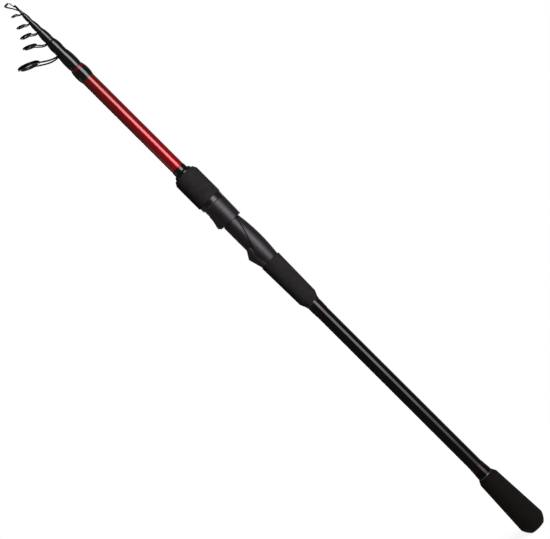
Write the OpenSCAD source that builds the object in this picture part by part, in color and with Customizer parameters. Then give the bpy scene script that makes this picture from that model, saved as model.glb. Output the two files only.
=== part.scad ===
// Telescopic spinning rod, closed: a lacquered butt section with foam grips and a reel seat,
// five sliding sections that each carry a guide, and a solid tip with its tip-top.
// Millimetres. Z runs along the rod from the butt end to the tip, and the guides stand towards -X.

/* [Butt section] */
// Height of the butt section's mouth above the butt end
butt_mouth_z = 696; // [690:1:705]
// Outer radius of the blank under the foregrip
blank_r = 7.65; // [7.6:0.01:7.66]
// Outer radius of the blank at its lower end, inside the butt knob
blank_butt_r = 7.92; // [7.92:0.01:8]
// Outer radius of the red length at the foregrip
front_blank_r = 7.98; // [7.98:0.01:8.05]
// Outer radius of the red length at the front wrap
front_blank_end_r = 7.91; // [7.85:0.01:7.91]
// Radius of the bore at the mouth
butt_bore_r = 6.85; // [6.8:0.01:6.9]
// Widening of the bore behind the mouth, which grips the next section
butt_bore_taper = 0.2; // [0.2:0.01:0.22]
// Length of the thread wrap round the mouth
front_wrap_len = 17; // [14:0.5:20]
// Largest radius of that wrap
front_wrap_r = 9.1; // [8.6:0.1:9.6]
// Width of the trim band in front of that wrap
front_trim_w = 4.2; // [2:0.1:6]

/* [Sliding sections] */
// Length of each section's head, which stays outside the section behind it
head_len = [26, 16, 15, 14, 13]; // [12:1:30]
// Outer radius of each section at its head
section_top_r = [6, 4.75, 3.6, 2.4, 1.4]; // [1:0.05:7]
// Wall of each section
section_wall = [0.7, 0.65, 0.6, 0.55, 0.5]; // [0.4:0.05:0.8]
// Radius of each head's wrap at its lower end
wrap_foot_r = [7.3, 6.35, 5.2, 3.8, 2.8]; // [2:0.05:8]
// Largest radius of each head's wrap
wrap_max_r = [7.9, 6.8, 5.4, 3.95, 2.95]; // [2:0.05:9]
// Height of the sections' lower ends above the butt end
section_foot_z = 36; // [34:1:40]
// Length that the second section keeps in the butt section when it is drawn out
first_overlap = 140; // [120:1:150]
// Reduction of that length from each section to the next
overlap_step = 6; // [0:1:6]
// Radial clearance of a section in the one behind it, drawn out
slip = 0.1; // [0.08:0.01:0.12]
// Radius of the solid tip at its upper end
tip_r = 0.65; // [0.6:0.01:0.68]

/* [Guides] */
// Outer diameter of each guide's ring, from the butt to the tip
ring_d = [25, 16, 13.5, 10.8, 7.5]; // [6:0.1:26]
// Distance of each ring's centre from the rod's axis
ring_reach = [35, 19.8, 14.7, 11.1, 8]; // [7:0.1:36]
// Height of each ring's centre above its section's mouth
ring_rise = [11.3, 9, 5, 1.8, 2.1]; // [1:0.1:12]
// Lean of each ring towards the tip, in degrees
ring_lean = [22, 24, 17, 18, 16]; // [10:1:26]
// Depth of each pair of legs below its section's mouth
leg_drop = [3.6, 1.8, 1.4, 2.2, 1.8]; // [1.2:0.1:4]
// Outer radius of each guide's collar
collar_r = [6.5, 5.25, 4.05, 2.8, 1.7]; // [1.6:0.05:6.6]

/* [Tip-top] */
// Outer diameter of the tip-top's ring
tip_ring_d = 6.2; // [5:0.1:7]
// Distance of that ring's centre from the rod's axis
tip_ring_reach = 5.8; // [5:0.1:6.5]
// Height of that ring's centre above the last section's mouth
tip_ring_rise = 16.5; // [15:0.1:18]
// Length of the tip-top's tube
tip_tube_len = 9.7; // [8:0.1:11]
// Outer radius of the tip-top's tube
tip_tube_r = 1.15; // [1.1:0.01:1.2]

/* [Reel seat] */
// Height of the reel seat's rear end above the butt end
seat_z = 404; // [400:1:408]
// Length of the reel seat with its threaded barrel
seat_len = 124; // [120:1:126]
// Outer radius of the reel seat's pipe
seat_pipe_r = 9.8; // [9.7:0.05:9.9]
// Radius of the reel seat's bore
seat_bore_r = 8.7; // [8.6:0.05:8.8]
// Distance of the flat reel bed from the rod's axis
bed_x = 10.5; // [10.4:0.05:10.6]
// Width of the flat reel bed
bed_w = 12.8; // [12:0.1:13.4]
// Largest radius of the palm swell
swell_r = 12.8; // [12.4:0.1:13.2]
// Distance of the rear hood's top from the rod's axis
rear_hood_x = 15.9; // [15.6:0.1:16]
// Distance of the front hood's lip from the rod's axis
front_hood_x = 15.6; // [15.4:0.1:15.8]
// Wall of the hoods over the reel foot
hood_wall = 0.8; // [0.7:0.05:0.9]
// Height of the front hood's mouth above the rear end of the seat
hood_rise = 60; // [58:0.5:62]
// Length of the front hood
hood_len = 24.7; // [24:0.1:25]

/* [Grips] */
// Radius of the foregrip
foregrip_r = 15.1; // [14.8:0.1:15.5]
// Length of the foregrip
foregrip_len = 39; // [37:0.1:40]
// Radius of the rear grip at its front
rear_grip_front_r = 12.4; // [12:0.1:12.8]
// Radius of the rear grip at its rear
rear_grip_rear_r = 11.4; // [11:0.1:11.8]
// Length of the rear grip
rear_grip_len = 63.5; // [60:0.5:66]
// Length of the butt knob
knob_len = 78; // [74:1:82]
// Radius of the butt knob at its front
knob_front_r = 11.9; // [11.5:0.1:12.2]
// Largest radius of the butt knob
knob_r = 15.2; // [14.9:0.1:15.5]
// Height of the rounding at the butt end
knob_end_h = 9.5; // [8:0.1:10]

/* [Butt plug] */
// Radius of the plug's head
plug_head_r = 8.6; // [8.4:0.05:8.7]
// Thickness of the plug's head
plug_head_h = 3.6; // [3.2:0.1:3.8]
// Radius of the plug's stem
plug_stem_r = 7.1; // [7:0.05:7.15]
// Height of the stem's end above the butt end
plug_stem_top_z = 20; // [18:0.5:21]
// Height of the foam buffer on the stem
buffer_h = 12; // [9:0.5:12]

/* [Hidden] */

// Colours
LACQUER = "#121214";
RED = "#96060c";
TRIM = "#a8323c";
FOAM = "#272425";
MOULDED = "#2b2a2d";
CARBON = "#1c1c20";
GUNMETAL = "#3c3c42";
CERAMIC = "#55555c";
RUBBER = "#161616";

// Roundness of the revolved solids and of the large arcs
ROUND = 96;
ARC_ROUND = 360;

// Bond line between glued pieces, gap between moving pieces and length of a cut past a face
GLUE = 0.05;
GAP = 0.3;
PAST = 1;

// Sections: what carries each of them, and its lengths and radii, from the second section to the tip
SECTIONS = len(head_len);
function head_sum(i) = i < 0 ? 0 : head_len[i] + head_sum(i - 1);
mouth_z = [for (i = [0 : SECTIONS - 1]) butt_mouth_z + head_sum(i)];
host_mouth_z = concat([butt_mouth_z], mouth_z);
host_bore_r = concat([butt_bore_r], section_top_r - section_wall);
neck_len = 4;
butt_straight_len = 20;
bore_foot_taper = 0.28;
spine_turn = 35;
lacquer_lap = 2;
lacquer_step = 0.5;
host_straight_len = concat([butt_straight_len], [for (h = head_len) h + neck_len]);
top_r = concat(section_top_r, [tip_r]);
function overlap(i) = first_overlap - overlap_step * i;
function cone_len(i) = host_mouth_z[i] - neck_len - section_foot_z;
function grip_share(i) = (overlap(i) - host_straight_len[i]) / cone_len(i);
function foot_r(i) = (host_bore_r[i] - slip - top_r[i] * grip_share(i)) / (1 - grip_share(i));

// Guides: each size follows from the ring's diameter
function frame_w(d) = 0.045 * d + 0.25;
function frame_h(d) = 0.075 * d + 0.4;
function ceramic_w(d) = 0.055 * d + 0.35;
function ceramic_h(d) = 0.13 * d + 0.5;
function wire_r(d) = 0.022 * d + 0.38;
function leg_end_r(d, r) = d / 2 - frame_w(d) + r + GLUE;
collar_share = 0.45;
wrap_top_lap = 0.35;
wrap_peak = 0.36;
leg_seat = 0.35;
leg_spread = 28;
leg_meet = 70;
leg_dive = 12;
leg_start_pull = 0.35;
leg_end_pull = 0.35;
LEG_STEPS = 9;
LEG_SIDES = 8;
WIRE_SIDE = [0, 0.3, 1];

// Reel seat: the rear hood and its pocket, and the arc along which the swell leaves the pipe
swell_mid_z = seat_z + 26.6;
swell_top_z = seat_z + 58;
swell_rear_r = 11.1;
swell_top_r = 10.5;
crease = circle_through([6.5, seat_z + 53.9], [1.7, seat_z + 34.3], [-7, seat_z + 14]);
rear_hood_round = 10;
rear_hood_start_x = 11.5;
rear_hood_top_z = seat_z + 16;
rear_hood_mouth_z = seat_z + 24.5;
rear_pocket_end_z = seat_z + 4;
rear_pocket_set_back = 0.5;
pocket_end_x = 11.8;
arbor_len = 10;
arbor_inset = 2;

// Sliding hood, nut and foregrip, from the hood's mouth towards the tip
hood_z = seat_z + hood_rise;
hood_bore_r = seat_pipe_r + GAP;
hood_shift = 0.6;
hood_rear_r = 12.95;
hood_slant = 1.7;
bed_end_z = hood_z - hood_slant / 2 - GAP;
hood_front_r = 13.6;
hood_round = 10.5;
hood_lip_z = hood_z + 4.5;
hood_flare_end_z = hood_z + 18;
hood_pocket_end_z = hood_z + 13;
hood_lip_slope = 2.5;
hood_hollow_depth = 1.9;
hood_hollow_run = 7;
hood_hollow_end = 2.5;
hood_roof_end = 0.2;
hood_neck_r = 11.4;
hood_neck_len = 4.7;
nut_z = hood_z + hood_len + GAP;
nut_collar_h = 6;
nut_collar_r = 14.2;
nut_collar_front_r = 14.5;
nut_sleeve_r = 11.5;
nut_edge = 0.6;
foregrip_z = nut_z + nut_collar_h + GLUE;
foregrip_front_z = foregrip_z + foregrip_len;
foregrip_chamfer_h = 4.2;
foregrip_chamfer_w = 2.4;
trim_ring_h = 3.4;
trim_ring_rear_r = 11.4;
trim_ring_mid_r = 11;
trim_ring_front_r = 9.9;
trim_ring_bore_r = 8.8;
wrap_edge = 0.2;
foregrip_wrap_z = foregrip_front_z + trim_ring_h + GAP;
foregrip_wrap_len = 5.8;
foregrip_wrap_r = 8.4;

// Grips and wraps behind the seat, from the seat towards the butt end
rear_grip_z = seat_z - GLUE - rear_grip_len;
rear_grip_chamfer_h = 7;
rear_grip_chamfer_w = 3;
check_h = 1.5;
check_edge = 0.2;
rear_check_r = 8.7;
rear_wrap_len = 9.5;
rear_wrap_r = 8.3;
rear_wrap_z = rear_grip_z - check_h - rear_wrap_len;
rear_trim_w = 4;
band_r = 8.1;
band_edge = 0.1;
butt_check_r = 9.4;
butt_wrap_len = 8;
butt_wrap_z = knob_len + check_h + 2 * GLUE;
butt_wrap_front_r = 8.45;
butt_wrap_rear_r = 9.1;
butt_wrap_bulge = 0.1;
butt_trim_w = 5.5;
butt_trim_front_r = 8.15;

// Butt end: the insert on the blank, the plug's head in the knob and the slots across the head
insert_z = 5.2;
insert_top_z = 40;
insert_r = 9.6;
insert_thread_r = 7.4;
blank_z = 24.2;
blank_end_z = foregrip_wrap_z + foregrip_wrap_len - lacquer_step;
function blank_at(z) = blank_butt_r + (blank_r - blank_butt_r) * (z - blank_z) / (blank_end_z - blank_z);
plug_recess_r = plug_head_r + GAP;
knob_end_r = 9.3;
knob_end_mid_r = 13.1;
knob_chamfer_h = 4;
knob_chamfer_w = 2.1;
seal_r = 8;
seal_wire_r = 0.65;
slot_w = 2;
slot_depth = 2;
slot_hub_r = 3.2;
buffer_r = 6.2;

// Tip-top
tip_tube_z = mouth_z[SECTIONS - 1] + GAP;
tip_ring_z = mouth_z[SECTIONS - 1] + tip_ring_rise;
tip_set_back = 0.5;
tip_wrap_len = 2;
tip_wrap_r = 1.55;
tip_wrap_rear_r = 1.45;
tip_wrap_front_r = 1.35;
tip_wire_r = 0.55;
tip_leg_r = tip_tube_r + 3 * GLUE;
tip_leg_z = tip_tube_z + tip_wrap_len + 1;
tip_leg_start_angle = 35;
tip_leg_start_pull = [-1.7, 0, 4.7];
tip_leg_end_angle = 40;
tip_leg_end_pull = [2.6, 0, -4.1];
tip_stay_z = tip_tube_z + tip_tube_len - 1.2;
tip_stay_start_pull = [-0.4, 0, 3];
tip_stay_end_pull = [0.8, 0, -2];

// Centre and radius of the circle through three points
function circle_through(a, b, c) =
    let (d = 2 * (a.x * (b.y - c.y) + b.x * (c.y - a.y) + c.x * (a.y - b.y)),
         x = (a * a * (b.y - c.y) + b * b * (c.y - a.y) + c * c * (a.y - b.y)) / d,
         y = (a * a * (c.x - b.x) + b * b * (a.x - c.x) + c * c * (b.x - a.x)) / d)
    [x, y, norm([a.x - x, a.y - y])];

// Point turned about Y
function turned(p, angle) =
    [p.x * cos(angle) + p.z * sin(angle), p.y, p.z * cos(angle) - p.x * sin(angle)];

function unit(v) = v / norm(v);

// Point and direction on a curve with four control points
function curve_at(p, t) =
    (1 - t) ^ 3 * p[0] + 3 * t * (1 - t) ^ 2 * p[1] + 3 * t ^ 2 * (1 - t) * p[2] + t ^ 3 * p[3];
function curve_way(p, t) =
    unit((1 - t) ^ 2 * (p[1] - p[0]) + 2 * t * (1 - t) * (p[2] - p[1]) + t ^ 2 * (p[3] - p[2]));

// Wire of one radius along a curve
module wire(p, r, steps = LEG_STEPS, sides = LEG_SIDES) {
    points = [
        for (j = [0 : steps])
            let (way = curve_way(p, j / steps),
                 side = unit(cross(WIRE_SIDE, way)),
                 rise = cross(way, side))
            for (k = [0 : sides - 1])
                curve_at(p, j / steps) + r * (cos(360 * k / sides) * side + sin(360 * k / sides) * rise)
    ];
    walls = [
        for (j = [0 : steps - 1], k = [0 : sides - 1])
            let (a = j * sides + k,
                 b = j * sides + (k + 1) % sides)
            each [[a, a + sides, b + sides], [a, b + sides, b]]
    ];
    start = [for (k = [0 : sides - 1]) k];
    end = [for (k = [sides - 1 : -1 : 0]) steps * sides + k];
    polyhedron(points, concat([start, end], walls));
}

// Plain ring between two heights
module ring(z0, z1, bore, r) {
    translate([0, 0, z0])
        rotate_extrude($fn = ROUND)
            translate([bore, 0])
                square([r - bore, z1 - z0]);
}

// Half section of a ring whose outer face is an arc through three radii
module bulge_section(bore, z0, z1, r0, r_mid, r1, mid = 0.5) {
    arc = circle_through([r0, z0], [r_mid, z0 + mid * (z1 - z0)], [r1, z1]);
    intersection() {
        translate([bore, z0])
            square([2 * r_mid, z1 - z0]);
        translate([arc.x, arc.y])
            circle(arc[2], $fn = ARC_ROUND);
    }
}

// Ring with an arched outer face, as lacquer lies over a thread wrap
module bulge(bore, z0, z1, r0, r_mid, r1, mid = 0.5) {
    rotate_extrude($fn = ROUND)
        bulge_section(bore, z0, z1, r0, r_mid, r1, mid);
}

// Side outline in X and Z, given depth along Y
module side_plate(points, depth) {
    rotate([90, 0, 0])
        linear_extrude(depth, center = true)
            polygon(points);
}

// Round bar along Y
module cross_bar(x, z, r, length) {
    translate([x, 0, z])
        rotate([90, 0, 0])
            cylinder(r = r, h = length, center = true, $fn = ARC_ROUND);
}

// Ring of a guide or of the tip-top, with its own bore and height
module hoop(bore, r, h) {
    rotate_extrude($fn = ROUND)
        translate([bore, -h / 2])
            square([r - bore, h]);
}

// Insert ring with a rounded running face for the line
module ceramic_hoop(d) {
    outer = d / 2 - frame_w(d) - GLUE / 2;
    half = ceramic_h(d) / 2;
    round_x = outer - ceramic_w(d) + half;
    rotate_extrude($fn = ROUND)
        intersection() {
            translate([outer - ceramic_w(d), -half])
                square([ceramic_w(d), 2 * half]);
            union() {
                translate([round_x, 0])
                    circle(half, $fn = ROUND);
                translate([round_x, -half])
                    square([2 * half, 2 * half]);
            }
        }
}

// Tube of the butt section, with its spine, where the wound sheet overlaps, out of the plane of the guides
module butt_blank() {
    taper_z = butt_mouth_z - first_overlap;
    wide_bore_r = butt_bore_r + butt_bore_taper;
    red_end_z = butt_mouth_z - front_wrap_len + lacquer_lap;
    mouth_r = blank_r - GLUE;
    color(RED)
        rotate([0, 0, spine_turn])
            rotate_extrude($fn = ROUND)
                polygon([
                    [wide_bore_r + bore_foot_taper, blank_z],
                    [blank_butt_r, blank_z],
                    [blank_r, blank_end_z],
                    [front_blank_r, blank_end_z + lacquer_step],
                    [front_blank_end_r, red_end_z],
                    [mouth_r, red_end_z + lacquer_step],
                    [mouth_r, butt_mouth_z],
                    [butt_bore_r, butt_mouth_z],
                    [butt_bore_r, butt_mouth_z - butt_straight_len],
                    [wide_bore_r, taper_z]
                ]);
}

// Outline of the butt section's front wrap and trim, between two heights
module front_bulge(z0, z1) {
    edge_r = front_blank_end_r + GLUE;
    wrap_z = butt_mouth_z - front_wrap_len;
    rotate_extrude($fn = ROUND)
        intersection() {
            bulge_section(blank_r, wrap_z, butt_mouth_z, edge_r, front_wrap_r, edge_r);
            translate([0, z0])
                square([2 * front_wrap_r, z1 - z0]);
        }
}

module front_wrap() {
    wrap_z = butt_mouth_z - front_wrap_len;
    color(LACQUER)
        difference() {
            front_bulge(wrap_z, butt_mouth_z - front_trim_w);
            ring(wrap_z - PAST, wrap_z + lacquer_lap + lacquer_step + GLUE,
                 butt_bore_r, front_blank_end_r + GLUE);
        }
}

module front_trim() {
    color(TRIM)
        front_bulge(butt_mouth_z - front_trim_w + GLUE, butt_mouth_z - GLUE);
}

module foregrip_wrap() {
    edge_r = blank_r + wrap_edge;
    color(LACQUER)
        bulge(blank_at(foregrip_wrap_z) + GLUE, foregrip_wrap_z, blank_end_z - GLUE,
              edge_r, foregrip_wrap_r, edge_r);
}

// Palm swell: a barrel round the pipe, cut off along an arc so that it leaves the reel bed free
module palm_swell() {
    difference() {
        bulge(seat_bore_r, seat_z, swell_top_z, swell_rear_r, swell_r, swell_top_r,
              (swell_mid_z - seat_z) / (swell_top_z - seat_z));
        cross_bar(crease[0], crease[1], crease[2], 4 * swell_r);
    }
}

// Rear hood: a slanting shell with a round back
module rear_hood() {
    intersection() {
        side_plate([
            [-rear_hood_round / 2, seat_z],
            [-rear_hood_start_x, seat_z],
            [-rear_hood_x, rear_hood_top_z],
            [-bed_x, rear_hood_mouth_z],
            [-rear_hood_round / 2, rear_hood_mouth_z]
        ], 2 * rear_hood_round);
        translate([rear_hood_round - rear_hood_x, 0, seat_z])
            cylinder(r = rear_hood_round, h = rear_hood_mouth_z - seat_z, $fn = ROUND);
    }
}

// Space under the rear hood for the end of a reel foot
module rear_pocket() {
    roof_x = rear_hood_x - hood_wall;
    intersection() {
        side_plate([
            [-seat_bore_r, rear_pocket_end_z],
            [-pocket_end_x, rear_pocket_end_z],
            [-roof_x, rear_hood_top_z - rear_pocket_set_back],
            [-roof_x, rear_hood_mouth_z + PAST],
            [-seat_bore_r, rear_hood_mouth_z + PAST]
        ], 2 * rear_hood_round);
        translate([rear_hood_round - rear_hood_x, 0, seat_z])
            cylinder(r = rear_hood_round - hood_wall, h = 2 * (rear_hood_mouth_z - seat_z), $fn = ROUND);
    }
}

module seat_body() {
    color(MOULDED)
        difference() {
            union() {
                difference() {
                    union() {
                        palm_swell();
                        rear_hood();
                    }
                    rear_pocket();
                }
                translate([0, 0, seat_z])
                    cylinder(r = seat_pipe_r, h = seat_len, $fn = ROUND);
                translate([-bed_x, -bed_w / 2, rear_hood_mouth_z])
                    cube([bed_x / 2, bed_w, bed_end_z - rear_hood_mouth_z]);
            }
            translate([0, 0, seat_z - PAST])
                cylinder(r = seat_bore_r, h = seat_len + 2 * PAST, $fn = ROUND);
        }
}

// Ring that centres the seat on the blank
module arbor(z) {
    color(FOAM)
        ring(z, z + arbor_len, blank_at(z) + GLUE, seat_bore_r - GLUE);
}

module seat_arbor_front() {
    arbor(seat_z + seat_len - arbor_len - arbor_inset);
}

module seat_arbor_rear() {
    arbor(seat_z + arbor_inset);
}

// What the front hood's mouth leaves off: its rim lies lower on the palm's side than on the reel's
module slanted_mouth() {
    reach = 2 * hood_rear_r;
    side_plate([
        [-reach, hood_z + hood_slant / 2],
        [-reach, hood_z - reach],
        [reach, hood_z - reach],
        [reach, hood_z - 3 * hood_slant / 2]
    ], 2 * reach);
}

module front_hood() {
    flare_x = front_hood_x - hood_round;
    foot_z = hood_z - hood_slant - PAST;
    hollow = circle_through([-front_hood_x, hood_lip_z],
                            [hood_hollow_depth - front_hood_x, hood_lip_z + hood_hollow_run],
                            [hood_hollow_end - front_hood_x, hood_flare_end_z]);
    color(MOULDED)
        difference() {
            union() {
                difference() {
                    translate([hood_shift, 0, hood_z - hood_slant])
                        cylinder(r1 = hood_rear_r, r2 = hood_front_r, h = hood_len + hood_slant, $fn = ROUND);
                    slanted_mouth();
                }
                translate([0, 0, hood_z + hood_len - PAST])
                    cylinder(r = hood_neck_r, h = hood_neck_len + PAST, $fn = ROUND);
                intersection() {
                    difference() {
                        side_plate([
                            [-hood_round / 2, hood_z],
                            [-hood_rear_r, hood_z],
                            [-front_hood_x, hood_z + hood_lip_slope],
                            [-front_hood_x, hood_flare_end_z],
                            [-hood_round / 2, hood_flare_end_z]
                        ], 2 * hood_round);
                        cross_bar(hollow[0], hollow[1], hollow[2], 4 * hood_round);
                    }
                    translate([-flare_x, 0, hood_z])
                        cylinder(r = hood_round, h = hood_len, $fn = ROUND);
                }
            }
            translate([0, 0, foot_z])
                cylinder(r = hood_bore_r, h = 2 * hood_len, $fn = ROUND);
            intersection() {
                side_plate([
                    [-seat_bore_r, foot_z],
                    [-front_hood_x, foot_z],
                    [-front_hood_x, hood_lip_z - hood_roof_end],
                    [-pocket_end_x, hood_pocket_end_z],
                    [-seat_bore_r, hood_pocket_end_z]
                ], 2 * hood_round);
                translate([-flare_x, 0, foot_z - PAST])
                    cylinder(r = hood_round - hood_wall, h = hood_len, $fn = ROUND);
            }
        }
}

module seat_nut() {
    collar_end_z = nut_z + nut_collar_h;
    seat_end_z = hood_z + hood_len + hood_neck_len + GAP;
    color(LACQUER)
        rotate_extrude($fn = ROUND)
            polygon([
                [hood_neck_r + GAP, nut_z],
                [nut_collar_r - nut_edge, nut_z],
                [nut_collar_r, nut_z + nut_edge],
                [nut_collar_front_r, collar_end_z],
                [nut_sleeve_r, collar_end_z],
                [nut_sleeve_r, foregrip_front_z - GLUE],
                [hood_bore_r, foregrip_front_z - GLUE],
                [hood_bore_r, seat_end_z],
                [hood_neck_r + GAP, seat_end_z]
            ]);
}

module foregrip() {
    color(FOAM)
        rotate_extrude($fn = ROUND)
            polygon([
                [nut_sleeve_r + GLUE, foregrip_z],
                [foregrip_r - nut_edge, foregrip_z],
                [foregrip_r, foregrip_z + nut_edge],
                [foregrip_r, foregrip_front_z - foregrip_chamfer_h],
                [foregrip_r - foregrip_chamfer_w, foregrip_front_z],
                [nut_sleeve_r + GLUE, foregrip_front_z]
            ]);
}

module foregrip_trim() {
    color(LACQUER)
        bulge(trim_ring_bore_r, foregrip_front_z + GLUE, foregrip_front_z + trim_ring_h,
              trim_ring_rear_r, trim_ring_mid_r, trim_ring_front_r);
}

module rear_grip() {
    bore_r = blank_at(rear_grip_z) + GLUE;
    color(FOAM)
        rotate_extrude($fn = ROUND)
            polygon([
                [bore_r, rear_grip_z],
                [rear_grip_rear_r - rear_grip_chamfer_w, rear_grip_z],
                [rear_grip_rear_r, rear_grip_z + rear_grip_chamfer_h],
                [rear_grip_front_r, rear_grip_z + rear_grip_len - nut_edge],
                [rear_grip_front_r - nut_edge, rear_grip_z + rear_grip_len],
                [bore_r, rear_grip_z + rear_grip_len]
            ]);
}

module rear_check() {
    foot_z = rear_grip_z - check_h;
    edge_r = rear_check_r - check_edge;
    color(GUNMETAL)
        bulge(blank_at(foot_z) + GLUE, foot_z, rear_grip_z - GLUE, edge_r, rear_check_r, edge_r);
}

module rear_wrap() {
    edge_r = rear_wrap_r - wrap_edge;
    color(LACQUER)
        bulge(blank_at(rear_wrap_z) + GLUE, rear_wrap_z, rear_wrap_z + rear_wrap_len - GLUE,
              edge_r, rear_wrap_r, edge_r);
}

module rear_trim() {
    foot_z = rear_wrap_z - GLUE - rear_trim_w;
    edge_r = band_r - band_edge;
    color(TRIM)
        bulge(blank_at(foot_z) + GLUE, foot_z, foot_z + rear_trim_w, edge_r, band_r, edge_r);
}

module butt_trim() {
    foot_z = butt_wrap_z + butt_wrap_len + GLUE;
    bore_r = blank_at(foot_z) + GLUE;
    color(TRIM)
        rotate_extrude($fn = ROUND)
            polygon([
                [bore_r, foot_z],
                [butt_wrap_front_r - GLUE, foot_z],
                [butt_trim_front_r, foot_z + butt_trim_w],
                [bore_r, foot_z + butt_trim_w]
            ]);
}

module butt_wrap() {
    mid_r = (butt_wrap_rear_r + butt_wrap_front_r) / 2 + butt_wrap_bulge;
    color(LACQUER)
        bulge(blank_at(butt_wrap_z) + GLUE, butt_wrap_z, butt_wrap_z + butt_wrap_len,
              butt_wrap_rear_r, mid_r, butt_wrap_front_r);
}

module butt_check() {
    edge_r = butt_check_r - check_edge;
    color(GUNMETAL)
        bulge(blank_at(knob_len) + GLUE, knob_len + GLUE, knob_len + check_h, edge_r, butt_check_r, edge_r);
}

module butt_knob() {
    bore_r = blank_butt_r + GLUE;
    insert_bore_r = insert_r + GLUE;
    color(FOAM)
        rotate_extrude($fn = ROUND)
            difference() {
                union() {
                    polygon([
                        [bore_r, knob_end_h],
                        [knob_r, knob_end_h],
                        [knob_front_r, knob_len - knob_chamfer_h],
                        [knob_front_r - knob_chamfer_w, knob_len],
                        [bore_r, knob_len]
                    ]);
                    bulge_section(bore_r, 0, knob_end_h, knob_end_r, knob_end_mid_r, knob_r);
                }
                translate([0, -PAST])
                    square([plug_recess_r, insert_top_z + PAST]);
                translate([0, insert_z - GLUE])
                    square([insert_bore_r, insert_top_z - insert_z + 2 * GLUE]);
            }
}

module butt_insert() {
    color(RUBBER)
        rotate_extrude($fn = ROUND)
            polygon([
                [insert_thread_r, insert_z],
                [insert_r, insert_z],
                [insert_r, insert_top_z],
                [blank_butt_r + GLUE, insert_top_z],
                [blank_butt_r + GLUE, blank_z - GLUE],
                [insert_thread_r, blank_z - GLUE]
            ]);
}

module butt_plug() {
    color(RUBBER)
        difference() {
            union() {
                cylinder(r = plug_head_r, h = plug_head_h, $fn = ROUND);
                cylinder(r = plug_stem_r, h = plug_stem_top_z, $fn = ROUND);
            }
            for (side = [-1, 1])
                translate([side * (slot_hub_r + plug_head_r / 2), 0, slot_depth / 2 - PAST / 2])
                    cube([plug_head_r, slot_w, slot_depth + PAST], center = true);
        }
}

module plug_seal() {
    color(RUBBER)
        translate([0, 0, (plug_head_h + insert_z) / 2])
            rotate_extrude($fn = ROUND)
                translate([seal_r, 0])
                    circle(seal_wire_r, $fn = ROUND);
}

module plug_buffer() {
    color(FOAM)
        translate([0, 0, plug_stem_top_z + GLUE])
            cylinder(r = buffer_r, h = buffer_h, $fn = ROUND);
}

// Tube of one sliding section: a straight head, then a cone down to its lower end
module section_blank(i) {
    head_z = host_mouth_z[i] - neck_len;
    color(CARBON)
        rotate_extrude($fn = ROUND)
            polygon([
                [foot_r(i) - section_wall[i], section_foot_z],
                [foot_r(i), section_foot_z],
                [top_r[i], head_z],
                [top_r[i], mouth_z[i]],
                [host_bore_r[i + 1], mouth_z[i]],
                [host_bore_r[i + 1], head_z]
            ]);
}

// Wrap of one head, over the lower part of the guide's collar
module section_wrap(i) {
    foot_z = host_mouth_z[i] + GAP;
    collar_z = mouth_z[i] - collar_share * head_len[i];
    top_z = mouth_z[i] - leg_drop[i] - wire_r(ring_d[i]) - GAP;
    color(LACQUER)
        difference() {
            bulge(top_r[i] + GLUE, foot_z, top_z, wrap_foot_r[i], wrap_max_r[i],
                  collar_r[i] + wrap_top_lap, wrap_peak);
            translate([0, 0, collar_z - GLUE])
                cylinder(r = collar_r[i] + GLUE, h = head_len[i], $fn = ROUND);
        }
}

// Guide: a collar on the head, two wire legs and the outer ring
module guide_frame(i) {
    d = ring_d[i];
    ring_place = [-ring_reach[i], 0, mouth_z[i] + ring_rise[i]];
    end_r = leg_end_r(d, wire_r(d));
    collar_bore = top_r[i] + GLUE;
    start_r = collar_r[i] - leg_seat * (collar_r[i] - collar_bore);
    start_z = mouth_z[i] - leg_drop[i];
    color(GUNMETAL) {
        ring(mouth_z[i] - collar_share * head_len[i], mouth_z[i] - GLUE, collar_bore, collar_r[i]);
        translate(ring_place)
            rotate([0, ring_lean[i], 0])
                hoop(d / 2 - frame_w(d), d / 2, frame_h(d));
        for (side = [-1, 1]) {
            out = [-cos(leg_spread), side * sin(leg_spread), 0];
            start = start_r * out + [0, 0, start_z];
            end = ring_place + turned([end_r * cos(leg_meet), side * end_r * sin(leg_meet),
                                       -frame_h(d) / 4], ring_lean[i]);
            span = norm(end - start);
            dive = ring_lean[i] + leg_dive;
            wire([
                start,
                start + leg_start_pull * span * out,
                end + leg_end_pull * span * [cos(dive), 0, -sin(dive)],
                end
            ], wire_r(d));
        }
    }
}

module guide_ring(i) {
    color(CERAMIC)
        translate([-ring_reach[i], 0, mouth_z[i] + ring_rise[i]])
            rotate([0, ring_lean[i], 0])
                ceramic_hoop(ring_d[i]);
}

module tip_blank() {
    head_z = host_mouth_z[SECTIONS] - neck_len;
    color(CARBON)
        rotate_extrude($fn = ROUND)
            polygon([
                [0, section_foot_z],
                [foot_r(SECTIONS), section_foot_z],
                [tip_r, head_z],
                [tip_r, tip_tube_z + tip_tube_len - tip_set_back],
                [0, tip_tube_z + tip_tube_len - tip_set_back]
            ]);
}

module tip_wrap() {
    color(LACQUER)
        bulge(tip_tube_r + GLUE, tip_tube_z, tip_tube_z + tip_wrap_len,
              tip_wrap_rear_r, tip_wrap_r, tip_wrap_front_r);
}

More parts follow.
